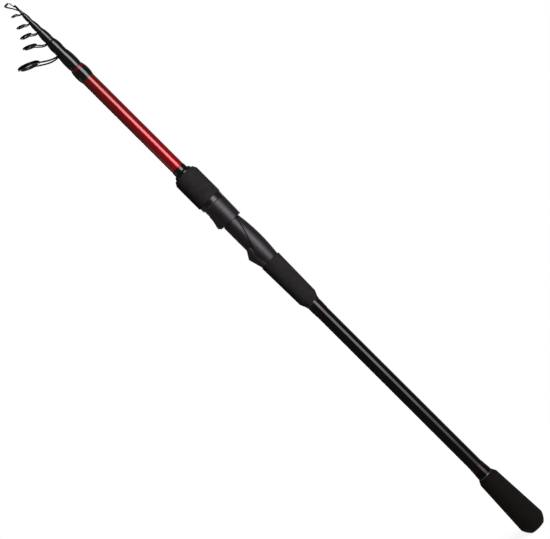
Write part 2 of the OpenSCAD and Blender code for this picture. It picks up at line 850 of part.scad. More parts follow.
// Tip-top: a tube on the tip, two long wires to the ring's outer side and one short wire to its inner side
module tip_top_frame() {
    d = tip_ring_d;
    end_r = leg_end_r(d, tip_wire_r);
    end_z = tip_ring_z - ceramic_h(d) / 2 - GLUE;
    stay_start = [-tip_leg_r, 0, tip_stay_z];
    stay_end = [end_r - tip_ring_reach, 0, end_z];
    color(GUNMETAL) {
        ring(tip_tube_z, tip_tube_z + tip_tube_len, tip_r + GLUE, tip_tube_r);
        translate([-tip_ring_reach, 0, tip_ring_z])
            hoop(d / 2 - frame_w(d), d / 2, frame_h(d));
        for (side = [-1, 1]) {
            start_out = [-cos(tip_leg_start_angle), side * sin(tip_leg_start_angle), 0];
            end_out = [-cos(tip_leg_end_angle), side * sin(tip_leg_end_angle), 0];
            start = tip_leg_r * start_out + [0, 0, tip_leg_z];
            end = end_r * end_out + [-tip_ring_reach, 0, end_z];
            wire([start, start + tip_leg_start_pull, end + tip_leg_end_pull, end], tip_wire_r);
        }
        wire([
            stay_start,
            stay_start + tip_stay_start_pull,
            stay_end + tip_stay_end_pull,
            stay_end
        ], tip_wire_r);
    }
}

module tip_top_ring() {
    color(CERAMIC)
        translate([-tip_ring_reach, 0, tip_ring_z])
            ceramic_hoop(tip_ring_d);
}

butt_blank();
front_wrap();
front_trim();
foregrip_wrap();
seat_body();
seat_arbor_front();
seat_arbor_rear();
rear_grip();
rear_check();
rear_wrap();
rear_trim();
butt_trim();
butt_wrap();
butt_check();
butt_knob();
butt_insert();
front_hood();
seat_nut();
foregrip();
foregrip_trim();
butt_plug();
plug_seal();
plug_buffer();
for (i = [0 : SECTIONS - 1]) {
    name = str("section_", i + 2);
    section_blank(i);
    section_wrap(i);
    guide_frame(i);
    guide_ring(i);
}
tip_blank();
tip_wrap();
tip_top_frame();
tip_top_ring();
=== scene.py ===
"""Looks of a closed telescopic spinning rod.

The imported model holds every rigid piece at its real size. This script turns the long blanks, the
foam grips, the butt knob and the foregrip's wrap as fine meshes, gives every piece its finish, and
sets up the studio and the camera. All lengths are in metres, in the model's own frame: Z runs from
the butt end to the tip, and the guides stand towards -X.
"""

from __future__ import annotations

import logging
import math
from dataclasses import dataclass, replace
from enum import Enum
from typing import Optional, Sequence

import bpy
from mathutils import Matrix, Vector


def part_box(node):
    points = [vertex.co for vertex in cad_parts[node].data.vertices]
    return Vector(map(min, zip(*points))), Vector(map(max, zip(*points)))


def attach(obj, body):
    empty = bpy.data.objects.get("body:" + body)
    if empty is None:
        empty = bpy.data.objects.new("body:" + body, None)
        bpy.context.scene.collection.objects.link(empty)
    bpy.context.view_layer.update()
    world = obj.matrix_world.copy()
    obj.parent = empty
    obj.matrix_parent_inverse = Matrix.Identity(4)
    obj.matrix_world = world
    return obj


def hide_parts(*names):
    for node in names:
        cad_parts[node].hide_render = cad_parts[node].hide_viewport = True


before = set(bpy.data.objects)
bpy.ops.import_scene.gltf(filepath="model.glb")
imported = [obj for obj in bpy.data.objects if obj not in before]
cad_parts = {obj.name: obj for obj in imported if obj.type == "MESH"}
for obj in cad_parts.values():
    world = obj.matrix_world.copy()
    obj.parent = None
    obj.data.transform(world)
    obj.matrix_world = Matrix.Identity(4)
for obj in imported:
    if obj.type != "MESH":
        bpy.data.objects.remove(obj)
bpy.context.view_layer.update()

LOG = logging.getLogger("rod")
MM = 0.001
FINE_SEGMENTS = 160
SLIM_SEGMENTS = 96
TIP_SEGMENTS = 48
SHARP_EDGE = math.radians(24.0)
# Phase that the wave texture turns through per unit of length at a scale of 1, in radians
WAVE_RATE = 20.0
WIRE_STRETCH = 12.0
FLAKE_EDGES = (0.2, 0.9)
ROUGHNESS_PATCH = 0.25
FLOOR_ROUGHNESS = 0.9
# Number, outer radius of the head and wall of each sliding section
SLIDING_SECTIONS = (
    (2, 6.0 * MM, 0.7 * MM),
    (3, 4.75 * MM, 0.65 * MM),
    (4, 3.6 * MM, 0.6 * MM),
    (5, 2.4 * MM, 0.55 * MM),
    (6, 1.4 * MM, 0.5 * MM),
)

Colour = tuple[float, float, float]
Point = tuple[float, float]
Socket = bpy.types.NodeSocket


class Grain(Enum):
    """Fine relief of a finish."""

    LACQUER = "smooth lacquer with a slight wander"
    FLAKE = "metal flakes under lacquer"
    THREAD = "thread turns under lacquer"
    FOAM = "closed foam cells"
    MOULDED = "spark-eroded mould texture"
    DRAWN = "drawn and plated wire"
    GROUND = "rings of a ground blank"


class ShaderGraph:
    """Node graph of one material, with a short call for each kind of node used here."""

    def __init__(self, name: str) -> None:
        """Start a material with a principled shader and object coordinates.

        Args:
            name: Name of the material.
        """
        self.material = bpy.data.materials.new(name)
        self.material.use_nodes = True
        self.tree = self.material.node_tree
        self.tree.nodes.clear()
        self.shader = self.add("ShaderNodeBsdfPrincipled")
        self.surface = self.add("ShaderNodeOutputMaterial").inputs["Surface"]
        self.link(self.shader.outputs["BSDF"], self.surface)
        self.place = self.add("ShaderNodeTexCoord").outputs["Object"]

    def add(self, kind: str) -> bpy.types.Node:
        """Add one node of the given kind."""
        return self.tree.nodes.new(kind)

    def link(self, source: Socket, target: Socket) -> None:
        """Join an output to an input."""
        self.tree.links.new(source, target)

    def noise(self, size: float, detail: float = 4.0, stretch: float = 1.0) -> Socket:
        """Cloudy noise.

        Args:
            size: Size of one cloud.
            detail: Number of finer layers.
            stretch: How many times longer a cloud is along the rod than across it.

        Returns:
            Factor from 0 to 1.
        """
        scaled = self.add("ShaderNodeMapping")
        scaled.inputs["Scale"].default_value = (1.0, 1.0, 1.0 / stretch)
        self.link(self.place, scaled.inputs["Vector"])
        texture = self.add("ShaderNodeTexNoise")
        texture.inputs["Scale"].default_value = 1.0 / size
        texture.inputs["Detail"].default_value = detail
        self.link(scaled.outputs["Vector"], texture.inputs["Vector"])
        return texture.outputs["Fac"]

    def cells(self, size: float) -> Socket:
        """Distance to the nearest of scattered points, for cells of the given size."""
        texture = self.add("ShaderNodeTexVoronoi")
        texture.inputs["Scale"].default_value = 1.0 / size
        self.link(self.place, texture.inputs["Vector"])
        return texture.outputs["Distance"]

    def turns(self, pitch: float) -> Socket:
        """Waves along the rod with the given pitch."""
        texture = self.add("ShaderNodeTexWave")
        texture.bands_direction = "Z"
        texture.inputs["Scale"].default_value = 2.0 * math.pi / (WAVE_RATE * pitch)
        self.link(self.place, texture.inputs["Vector"])
        return texture.outputs["Fac"]

    def spread(
        self, factor: Socket, low: float, high: float, start: float = 0.3, end: float = 0.7,
    ) -> Socket:
        """Stretch a factor onto a range of numbers.

        Args:
            factor: What to stretch.
            low: Number at start and below.
            high: Number at end and above.
            start: Factor that gives low.
            end: Factor that gives high.

        Returns:
            The number.
        """
        node = self.add("ShaderNodeMapRange")
        node.inputs["From Min"].default_value = start
        node.inputs["From Max"].default_value = end
        node.inputs["To Min"].default_value = low
        node.inputs["To Max"].default_value = high
        self.link(factor, node.inputs["Value"])
        return node.outputs["Result"]

    def mix(self, factor: Socket, first: Colour | Socket, second: Colour | Socket) -> Socket:
        """Mix two colours.

        Args:
            factor: 0 gives the first colour and 1 the second.
            first: Colour or socket.
            second: Colour or socket.

        Returns:
            The mixed colour.
        """
        node = self.add("ShaderNodeMix")
        node.data_type = "RGBA"
        self.link(factor, node.inputs[0])
        for socket, value in ((node.inputs[6], first), (node.inputs[7], second)):
            if isinstance(value, tuple):
                socket.default_value = (*value, 1.0)
            else:
                self.link(value, socket)
        return node.outputs[2]

    def along(self, start: float, end: float) -> Socket:
        """Factor that rises from 0 to 1 between two heights along the rod."""
        split = self.add("ShaderNodeSeparateXYZ")
        self.link(self.place, split.inputs["Vector"])
        return self.spread(split.outputs["Z"], 0.0, 1.0, start, end)

    def relief(self, height: Socket, depth: float) -> None:
        """Bump the surface by a height map of the given depth, in metres."""
        bump = self.add("ShaderNodeBump")
        bump.inputs["Strength"].default_value = 1.0
        bump.inputs["Distance"].default_value = depth
        self.link(height, bump.inputs["Height"])
        self.link(bump.outputs["Normal"], self.shader.inputs["Normal"])


@dataclass(frozen=True)
class Band:
    """Tint that fades in between two heights along the rod."""

    colour: Colour
    start: float
    end: float


@dataclass(frozen=True)
class Finish:
    """Procedural finish of a piece.

    Attributes:
        name: Name of the material.
        colour: Main colour.
        shade: Colour of the darker or lighter patches.
        roughness: Least and greatest roughness.
        grain: Kind of fine relief.
        grain_size: Size of the relief, in metres.
        grain_depth: Depth of the relief, in metres.
        patch: Size of the colour patches, in metres.
        specular: Level of the surface's own reflection.
        metallic: Share of metal in the shading.
        edge_tint: Tint of the reflection.
        coat: Share of clear lacquer on top.
        coat_roughness: Roughness of that lacquer.
        coat_ior: Refraction of that lacquer.
        band: Tint over a length of the rod.
    """

    name: str
    colour: Colour
    shade: Colour
    roughness: tuple[float, float]
    grain: Grain
    grain_size: float
    grain_depth: float
    patch: float = 20 * MM
    specular: float = 0.27
    metallic: float = 0.0
    edge_tint: Colour = (1.0, 1.0, 1.0)
    coat: float = 0.0
    coat_roughness: float = 0.04
    coat_ior: float = 1.55
    band: Optional[Band] = None

    def height(self, graph: ShaderGraph) -> Socket:
        """Height map of the grain.

        Args:
            graph: Graph to add the nodes to.

        Returns:
            Height from 0 to 1.
        """
        if self.grain is Grain.THREAD or self.grain is Grain.GROUND:
            return graph.turns(self.grain_size)
        if self.grain is Grain.FOAM or self.grain is Grain.FLAKE:
            return graph.cells(self.grain_size)
        if self.grain is Grain.DRAWN:
            return graph.noise(self.grain_size, stretch=WIRE_STRETCH)
        return graph.noise(self.grain_size)

    def make(self) -> bpy.types.Material:
        """Build the material.

        Returns:
            The new material.
        """
        graph = ShaderGraph(self.name)
        socket = graph.shader.inputs
        patches = graph.noise(self.patch)
        colour = graph.mix(graph.spread(patches, 0.0, 1.0), self.colour, self.shade)
        height = self.height(graph)
        if self.grain is Grain.FLAKE:
            colour = graph.mix(graph.spread(height, 0.0, 1.0, *FLAKE_EDGES), colour, self.shade)
        if self.band is not None:
            colour = graph.mix(graph.along(self.band.start, self.band.end), colour, self.band.colour)
        graph.link(colour, socket["Base Color"])
        gloss = graph.noise(self.patch * ROUGHNESS_PATCH)
        graph.link(graph.spread(gloss, *self.roughness), socket["Roughness"])
        graph.relief(height, self.grain_depth)
        socket["Specular IOR Level"].default_value = self.specular
        socket["Specular Tint"].default_value = (*self.edge_tint, 1.0)
        socket["Metallic"].default_value = self.metallic
        socket["Coat Weight"].default_value = self.coat
        socket["Coat Roughness"].default_value = self.coat_roughness
        socket["Coat IOR"].default_value = self.coat_ior
        return graph.material


RED_LACQUER = Finish(
    "red_lacquer", (0.42, 0.002, 0.007), (0.35, 0.001, 0.005), (0.26, 0.34), Grain.FLAKE,
    grain_size=0.25 * MM, grain_depth=0.002 * MM, patch=8 * MM, metallic=0.5,
    edge_tint=(0.25, 0.02, 0.02), coat=1.0, coat_roughness=0.09, coat_ior=1.58,
    band=Band((0.2, 0.001, 0.003), 0.56, 0.69),
)
BLACK_LACQUER = Finish(
    "black_lacquer", (0.0015, 0.0015, 0.002), (0.0025, 0.0025, 0.003), (0.05, 0.08), Grain.LACQUER,
    grain_size=6 * MM, grain_depth=0.01 * MM, specular=0.37,
)
WRAP_LACQUER = Finish(
    "wrap_lacquer", (0.0015, 0.0015, 0.002), (0.003, 0.0025, 0.003), (0.06, 0.1), Grain.THREAD,
    grain_size=0.3 * MM, grain_depth=0.0015 * MM, patch=3 * MM, specular=0.7,
)
GRIP_WRAP_LACQUER = replace(WRAP_LACQUER, name="grip_wrap_lacquer", specular=0.46)
BUTT_WRAP_LACQUER = replace(WRAP_LACQUER, name="butt_wrap_lacquer", specular=0.25)
TRIM_THREAD = Finish(
    "trim_thread", (0.19, 0.005, 0.022), (0.13, 0.003, 0.015), (0.24, 0.34), Grain.THREAD,
    grain_size=0.3 * MM, grain_depth=0.004 * MM, patch=1.5 * MM, metallic=0.6,
    edge_tint=(0.1, 0.01, 0.01), coat=0.7,
)
DARK_TRIM_THREAD = replace(
    TRIM_THREAD, name="dark_trim_thread", colour=(0.02, 0.0022, 0.003), shade=(0.013, 0.0015, 0.002),
    coat=0.6,
)
SEAT_PLASTIC = Finish(
    "seat_plastic", (0.0055, 0.0047, 0.0057), (0.008, 0.007, 0.0083), (0.41, 0.48), Grain.MOULDED,
    grain_size=0.18 * MM, grain_depth=0.006 * MM, specular=0.64, edge_tint=(1.0, 0.91, 0.98),
)
# Painted shade: a darker, duller copy of the seat plastic for the flat sides of the reel bed, standing
# in for the shade of a seat that is rounded there.
BED_SIDE_PAINTED_SHADE = replace(
    SEAT_PLASTIC, name="bed_side_painted_shade", colour=(0.003, 0.0026, 0.003), shade=(0.0042, 0.0037, 0.0042),
    roughness=(0.5, 0.58), specular=0.12,
)
NUT_PLASTIC = Finish(
    "nut_plastic", (0.004, 0.0037, 0.0042), (0.006, 0.0056, 0.0063), (0.26, 0.32), Grain.MOULDED,
    grain_size=0.3 * MM, grain_depth=0.003 * MM, specular=0.6, edge_tint=(1.0, 0.92, 0.98),
)
GRIP_FOAM = Finish(
    "grip_foam", (0.02, 0.018, 0.018), (0.028, 0.0255, 0.0255), (0.78, 0.9), Grain.FOAM,
    grain_size=0.4 * MM, grain_depth=0.05 * MM, patch=6 * MM, specular=0.06,
)
KNOB_FOAM = Finish(
    "knob_foam", (0.0075, 0.0063, 0.0052), (0.0105, 0.009, 0.0074), (0.8, 0.92), Grain.FOAM,
    grain_size=0.4 * MM, grain_depth=0.05 * MM, patch=6 * MM, specular=0.06,
)
CHECK_METAL = Finish(
    "check_metal", (0.075, 0.075, 0.08), (0.055, 0.055, 0.06), (0.1, 0.16), Grain.DRAWN,
    grain_size=0.5 * MM, grain_depth=0.002 * MM, metallic=0.8, edge_tint=(0.2, 0.2, 0.2),
)
GUIDE_WIRE = Finish(
    "guide_wire", (0.006, 0.006, 0.0065), (0.004, 0.004, 0.0045), (0.25, 0.35), Grain.DRAWN,
    grain_size=0.6 * MM, grain_depth=0.004 * MM, patch=2 * MM, metallic=0.7,
    edge_tint=(0.05, 0.05, 0.05),
)
RING_CERAMIC = Finish(
    "ring_ceramic", (0.014, 0.014, 0.016), (0.022, 0.022, 0.025), (0.12, 0.2), Grain.LACQUER,
    grain_size=2 * MM, grain_depth=0.004 * MM, patch=2 * MM, specular=0.35,
)
GROUND_CARBON = Finish(
    "ground_carbon", (0.008, 0.008, 0.009), (0.014, 0.014, 0.015), (0.16, 0.24), Grain.GROUND,
    grain_size=0.8 * MM, grain_depth=0.004 * MM, patch=10 * MM, specular=0.35,
)
PLUG_PLASTIC = Finish(
    "plug_plastic", (0.01, 0.01, 0.01), (0.016, 0.016, 0.016), (0.45, 0.55), Grain.MOULDED,
    grain_size=0.25 * MM, grain_depth=0.01 * MM, specular=0.4,
)
SEAL_RUBBER = Finish(
    "seal_rubber", (0.01, 0.01, 0.01), (0.014, 0.014, 0.014), (0.6, 0.7), Grain.MOULDED,
    grain_size=0.3 * MM, grain_depth=0.006 * MM, specular=0.3,
)


@dataclass(frozen=True)
class Corner:
    """Corner of a half section, with the radius of its rounding."""

    r: float
    z: float
    fillet: float = 0.0


def rounded(corners: Sequence[Corner], steps: int = 6) -> list[Point]:
    """Round the corners of a closed half section.

    Args:
        corners: Corners in order round the section.
        steps: Points on each rounding.

    Returns:
        Points of the rounded section as radius and height.
    """
    points: list[Point] = []
    for i, corner in enumerate(corners):
        here = Vector((corner.r, corner.z))
        if corner.fillet <= 0.0:
            points.append((here.x, here.y))
            continue
        before, after = corners[i - 1], corners[(i + 1) % len(corners)]
        to_before = (Vector((before.r, before.z)) - here).normalized()
        to_after = (Vector((after.r, after.z)) - here).normalized()
        half_angle = to_before.angle(to_after) / 2.0
        cut = corner.fillet / math.tan(half_angle)
        start, end = here + cut * to_before, here + cut * to_after
        for k in range(steps + 1):
            t = k / steps
            bent = (1 - t) ** 2 * start + 2 * t * (1 - t) * here + t**2 * end
            points.append((bent.x, bent.y))
    return points


def arc_through(first: Point, middle: Point, last: Point, steps: int = 12) -> list[Point]:
    """Arc of a half section through three points.

    Args:
        first: Where the arc starts.
        middle: Point on the way.
        last: Where the arc ends.
        steps: Number of steps along it.

    Returns:
        Points from the first to the last.
    """
    (ax, ay), (bx, by), (cx, cy) = first, middle, last
    a, b, c = ax * ax + ay * ay, bx * bx + by * by, cx * cx + cy * cy
    scale = 2.0 * (ax * (by - cy) + bx * (cy - ay) + cx * (ay - by))
    x = (a * (by - cy) + b * (cy - ay) + c * (ay - by)) / scale
    y = (a * (cx - bx) + b * (ax - cx) + c * (bx - ax)) / scale
    radius = math.hypot(ax - x, ay - y)
    start, end = math.atan2(ay - y, ax - x), math.atan2(cy - y, cx - x)
    angles = [start + (end - start) * k / steps for k in range(steps + 1)]
    return [(x + radius * math.cos(angle), y + radius * math.sin(angle)) for angle in angles]


def turned(name: str, section: Sequence[Point], segments: int = FINE_SEGMENTS) -> bpy.types.Object:
    """Turn a closed half section about the rod's axis.

    Args:
        name: Name of the new piece.
        section: Points as radius and height, in order against the clock.
        segments: Number of steps round the axis.

    Returns:
        The new piece, with soft shading between its hard edges.
    """
    count = len(section)
    points = [
        (r * math.cos(2 * math.pi * s / segments), r * math.sin(2 * math.pi * s / segments), z)
        for s in range(segments)
        for r, z in section
    ]
    faces = []
    for s in range(segments):
        this, following = s * count, (s + 1) % segments * count
        for k in range(count):
            nxt = (k + 1) % count
            faces.append((this + k, following + k, following + nxt, this + nxt))
    mesh = bpy.data.meshes.new(name)
    mesh.from_pydata(points, [], faces)
    mesh.validate()
    mesh.polygons.foreach_set("use_smooth", [True] * len(mesh.polygons))
    mesh.set_sharp_from_angle(angle=SHARP_EDGE)
    piece = bpy.data.objects.new(name, mesh)
    bpy.context.scene.collection.objects.link(piece)
    return piece


class Paint:
    """Finishes made into materials, each only once."""

    def __init__(self) -> None:
        """Start with no material made."""
        self.made: dict[Finish, bpy.types.Material] = {}

    def material(self, finish: Finish) -> bpy.types.Material:
        """Material of a finish, made at its first use."""
        if finish not in self.made:
            self.made[finish] = finish.make()
        return self.made[finish]

    def piece(self, piece: bpy.types.Object, *finishes: Finish) -> None:
        """Give a piece its finishes, in the order of its faces' material numbers."""
        piece.data.materials.clear()
        for finish in finishes:
            piece.data.materials.append(self.material(finish))

    def node(self, name: str, *finishes: Finish) -> None:
        """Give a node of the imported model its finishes, and log them."""
        self.piece(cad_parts[name], *finishes)
        LOG.info("dressed %s with %s", name, " and ".join(finish.name for finish in finishes))


def stand_in(piece: bpy.types.Object, body: str, node: str) -> None:
    """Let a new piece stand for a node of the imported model.

    Args:
        piece: The new piece.
        body: Body that it rides on.
        node: Node that it stands for.
    """
    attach(piece, body)
    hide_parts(node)
    LOG.info("built %s on %s", piece.name, body)


@dataclass
class ButtSection:
    """Blank of the butt section, with its wraps, trim bands and check rings.

    Attributes:
        paint: Finishes.
        foot_bore: Radius of the bore at the rear end.
        bore: Radius of the bore behind the mouth's taper.
        mouth_bore: Radius of the bore at the mouth.
        mouth_bore_length: Length of the mouth's straight bore.
        mouth_taper_length: Distance from the mouth to the end of its taper.
        foot_radius: Outer radius at the rear end.
        black_end_radius: Outer radius where the black lacquer ends.
        red_start_radius: Outer radius where the red lacquer starts.
        red_end_radius: Outer radius where it ends, under the front wrap.
        mouth_radius: Outer radius under the front wrap.
        step: Length of the step between two lacquers.
        red_run_under_wrap: Length of red under the front wrap.
        glue: Gap between the blank and the foregrip's wrap.
        wrap_edge: Rounding of that wrap's edges.
    """

    paint: Paint
    foot_bore: float = 7.33 * MM
    bore: float = 7.05 * MM
    mouth_bore: float = 6.85 * MM
    mouth_bore_length: float = 20 * MM
    mouth_taper_length: float = 140 * MM
    foot_radius: float = 7.92 * MM
    black_end_radius: float = 7.65 * MM
    red_start_radius: float = 7.98 * MM
    red_end_radius: float = 7.91 * MM
    mouth_radius: float = 7.6 * MM
    step: float = 0.5 * MM
    red_run_under_wrap: float = 2 * MM
    glue: float = 0.06 * MM
    wrap_edge: float = 0.35 * MM

    def section(self) -> list[Point]:
        """Half section of the blank, from its rear end round to its bore."""
        low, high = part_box("butt_blank")
        red_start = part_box("foregrip_wrap")[1].z + self.step
        red_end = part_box("front_wrap")[0].z + self.red_run_under_wrap
        return [
            (self.foot_bore, low.z),
            (self.foot_radius, low.z),
            (self.black_end_radius, red_start - self.step),
            (self.red_start_radius, red_start),
            (self.red_end_radius, red_end),
            (self.mouth_radius, red_end + self.step),
            (self.mouth_radius, high.z),
            (self.mouth_bore, high.z),
            (self.mouth_bore, high.z - self.mouth_bore_length),
            (self.bore, high.z - self.mouth_taper_length),
        ]

    def build(self) -> None:
        """Turn the blank, red in front of the foregrip and black behind it."""
        section = self.section()
        piece = turned("butt_blank_lacquered", section)
        self.paint.piece(piece, RED_LACQUER, BLACK_LACQUER)
        red_from = section[2][1]
        for face in piece.data.polygons:
            outside = math.hypot(face.center.x, face.center.y) > self.bore + self.step
            face.material_index = 0 if outside and face.center.z > red_from else 1
        stand_in(piece, "handle", "butt_blank")

    def build_foregrip_wrap(self) -> None:
        """Turn the wrap in front of the foregrip, level along its length and rounded at its edges."""
        low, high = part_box("foregrip_wrap")
        piece = turned("foregrip_wrap_lacquered", rounded([
            Corner(self.black_end_radius + self.glue, low.z),
            Corner(high.x, low.z, self.wrap_edge),
            Corner(high.x, high.z, self.wrap_edge),
            Corner(self.black_end_radius + self.glue, high.z),
        ]))
        self.paint.piece(piece, WRAP_LACQUER)
        stand_in(piece, "handle", "foregrip_wrap")

    def dress(self) -> None:
        """Finish the wraps, trim bands and check rings."""
        self.paint.node("front_wrap", WRAP_LACQUER)
        self.paint.node("rear_wrap", GRIP_WRAP_LACQUER)
        self.paint.node("butt_wrap", BUTT_WRAP_LACQUER)
        self.paint.node("front_trim", TRIM_THREAD)
        for name in ("rear_trim", "butt_trim"):
            self.paint.node(name, DARK_TRIM_THREAD)
        for name in ("rear_check", "butt_check"):
            self.paint.node(name, CHECK_METAL)


@dataclass
class FoamGrip:
    """Turned foam grip over its CAD solid.

    Attributes:
        paint: Finishes.
        node: Node that the grip stands for.
        body: Body that it rides on.
        finish: Finish of the foam.
        bore: Radius of its bore.
        rear_radius: Radius in front of the rear chamfer.
        front_radius: Radius behind the front chamfer.
        rear_chamfer: Radial size and length of the rear chamfer.
        front_chamfer: Radial size and length of the front chamfer.
        fillet: Rounding of the outer edges.
        end_share: Rounding at the end faces, as a share of the outer one.
    """

    paint: Paint
    node: str
    body: str
    finish: Finish
    bore: float
    rear_radius: float
    front_radius: float
    rear_chamfer: tuple[float, float]
    front_chamfer: tuple[float, float]
    fillet: float = 1.2 * MM
    end_share: float = 1.0 / 3.0

    def build(self) -> None:
        """Turn the grip with softly rounded edges."""
        low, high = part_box(self.node)
        rear_w, rear_h = self.rear_chamfer
        front_w, front_h = self.front_chamfer
        edge = min(self.fillet, rear_w, front_w) * self.end_share
        section = rounded([
            Corner(self.bore, low.z),
            Corner(self.rear_radius - rear_w, low.z, edge),
            Corner(self.rear_radius, low.z + rear_h, self.fillet),
            Corner(self.front_radius, high.z - front_h, self.fillet),
            Corner(self.front_radius - front_w, high.z, edge),
            Corner(self.bore, high.z),
        ])
        piece = turned(f"{self.node}_foam", section)
        self.paint.piece(piece, self.finish)
        stand_in(piece, self.body, self.node)


@dataclass
class ButtKnob:
    """Tapered foam knob with the recess for the plug's head and the bonded insert.

    Attributes:
        paint: Finishes.
        front_radius: Radius behind the front chamfer.
        front_chamfer: Radial size and length of the front chamfer.
        largest_radius: Radius at the widest place.
        end_height: Height of that place.
        end_radius: Radius at the rear end.
        end_middle_radius: Radius halfway between the two.
        largest_fillet: Rounding at the widest place.
        front_fillet: Rounding behind the front chamfer.
        front_end_fillet: Rounding at the front end.
        plug_recess: Radius of the recess for the plug's head.
        insert_bore: Radius of the bore for the insert.
        insert_start: Height at which that bore starts.
        insert_end: Height at which it ends.
        bore: Radius of the bore for the blank.
    """

    paint: Paint
    front_radius: float = 11.9 * MM
    front_chamfer: tuple[float, float] = (2.1 * MM, 4 * MM)
    largest_radius: float = 15.2 * MM
    end_height: float = 9.5 * MM
    end_radius: float = 9.3 * MM
    end_middle_radius: float = 13.1 * MM
    largest_fillet: float = 3 * MM
    front_fillet: float = 1.5 * MM
    front_end_fillet: float = 0.6 * MM
    plug_recess: float = 8.9 * MM
    insert_bore: float = 9.65 * MM
    insert_start: float = 5.15 * MM
    insert_end: float = 40.05 * MM
    bore: float = 7.97 * MM

    def build(self) -> None:
        """Turn the knob."""
        low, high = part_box("butt_knob")
        chamfer_w, chamfer_h = self.front_chamfer
        end = arc_through(
            (self.end_radius, low.z), (self.end_middle_radius, self.end_height / 2.0),
            (self.largest_radius, self.end_height),
        )
        section = rounded([
            *(Corner(r, z) for r, z in end[:-1]),
            Corner(self.largest_radius, self.end_height, self.largest_fillet),
            Corner(self.front_radius, high.z - chamfer_h, self.front_fillet),
            Corner(self.front_radius - chamfer_w, high.z, self.front_end_fillet),
            Corner(self.bore, high.z),
            Corner(self.bore, self.insert_end),
            Corner(self.insert_bore, self.insert_end),
            Corner(self.insert_bore, self.insert_start),
            Corner(self.plug_recess, self.insert_start),
            Corner(self.plug_recess, low.z),
        ])
        piece = turned("butt_knob_foam", section)
        self.paint.piece(piece, KNOB_FOAM)
        stand_in(piece, "handle", "butt_knob")


@dataclass
class ReelClamp:
    """Reel seat with its fixed hood, the sliding hood, and the nut under the foregrip.

    Attributes:
        paint: Finishes.
        bed_from: Height at which the reel bed starts, at the fixed hood's mouth.
        bed_to: Height at which it ends, under the sliding hood.
        bed_depth: Least distance of its sides from the rod's axis, along X.
        level: Least share of a side's normal along Y, which tells it from the round pipe.
    """

    paint: Paint
    bed_from: float = 428.5 * MM
    bed_to: float = 464 * MM
    bed_depth: float = 7 * MM
    level: float = 0.97

    def build(self) -> None:
        """Turn the foregrip, which the nut carries, and the rear grip behind the seat."""
        FoamGrip(
            self.paint, "foregrip", "reel_nut", GRIP_FOAM, bore=11.55 * MM,
            rear_radius=15.1 * MM, front_radius=15.1 * MM,
            rear_chamfer=(0.6 * MM, 0.6 * MM), front_chamfer=(2.4 * MM, 4.2 * MM),
        ).build()
        FoamGrip(
            self.paint, "rear_grip", "handle", GRIP_FOAM, bore=7.81 * MM,
            rear_radius=11.4 * MM, front_radius=12.4 * MM,
            rear_chamfer=(3 * MM, 7 * MM), front_chamfer=(0.6 * MM, 0.6 * MM),
        ).build()

    def dress(self) -> None:
        """Finish the seat with painted shade on the sides of its bed (a darker, duller copy of its
        plastic), the hood, the nut and the hidden arbors.
        """
        self.paint.node("seat_body", SEAT_PLASTIC, BED_SIDE_PAINTED_SHADE)
        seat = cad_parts["seat_body"]
        turn = seat.matrix_world.to_3x3()
        for face in seat.data.polygons:
            centre, normal = seat.matrix_world @ face.center, turn @ face.normal
            # Faces that get the painted shade: the flat sides of the bed, facing along Y.
            painted_shade_face = self.bed_from < centre.z < self.bed_to and centre.x < -self.bed_depth
            face.material_index = int(painted_shade_face and abs(normal.y) > self.level)
        self.paint.node("front_hood", SEAT_PLASTIC)
        self.paint.node("seat_nut", NUT_PLASTIC)
        self.paint.node("foregrip_trim", GRIP_WRAP_LACQUER)
        for name in ("seat_arbor_front", "seat_arbor_rear"):
            self.paint.node(name, GRIP_FOAM)


@dataclass
class ButtPlug:
    """Screw plug at the butt end with its seal, its buffer and the insert that takes it."""

    paint: Paint

    def dress(self) -> None:
        """Finish the plug and what belongs to it."""
        self.paint.node("butt_plug", PLUG_PLASTIC)
        self.paint.node("butt_insert", PLUG_PLASTIC)
        self.paint.node("plug_seal", SEAL_RUBBER)
        self.paint.node("plug_buffer", GRIP_FOAM)


@dataclass
class SlidingSection:
    """One sliding section: its blank, the wrap of its head and its guide.

    Attributes:
        paint: Finishes.
        number: Number of the section, counted from the butt section as 1.
        top_radius: Outer radius of its head.
        wall: Wall of its blank.
        gap: Gap between its wrap and the section behind it.
        neck: Straight length of the blank below the head.
        tint: Colour of the head's upper edge.
        tint_length: Length of that tint.
        collar_wall: Greatest wall of the guide's collar, which is lacquered with the head.
    """

    paint: Paint
    number: int
    top_radius: float
    wall: float
    gap: float = 0.3 * MM
    neck: float = 4 * MM
    tint: Colour = (0.014, 0.002, 0.003)
    tint_length: float = 2.5 * MM
    collar_wall: float = 0.55 * MM

    def name(self, part: str) -> str:
        """Node name of one of the section's parts."""
        return f"section_{self.number}_{part}"

    def build(self) -> None:
        """Turn the blank: a straight head, then a cone down to its foot."""
        low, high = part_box(self.name("blank"))
        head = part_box(self.name("wrap"))[0].z - self.gap - self.neck
        inner = self.top_radius - self.wall
        piece = turned(self.name("blank_ground"), [
            (high.x - self.wall, low.z),
            (high.x, low.z),
            (self.top_radius, head),
            (self.top_radius, high.z),
            (inner, high.z),
            (inner, head),
        ], segments=SLIM_SEGMENTS)
        self.paint.piece(piece, GROUND_CARBON)
        stand_in(piece, f"section_{self.number}", self.name("blank"))

    def dress(self) -> None:
        """Finish the wrap, the guide's lacquered collar, its wires and its ring."""
        self.paint.node(self.name("wrap"), WRAP_LACQUER)
        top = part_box(self.name("blank"))[1].z
        band = Band(self.tint, top - self.tint_length, top)
        collar = replace(WRAP_LACQUER, name=f"collar_lacquer_{self.number}", band=band)
        self.paint.node(self.name("guide_frame"), GUIDE_WIRE, collar)
        reach = self.top_radius + self.collar_wall
        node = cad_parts[self.name("guide_frame")]
        for face in node.data.polygons:
            centre = node.matrix_world @ face.center
            face.material_index = int(math.hypot(centre.x, centre.y) < reach)
        self.paint.node(self.name("guide_ring"), RING_CERAMIC)


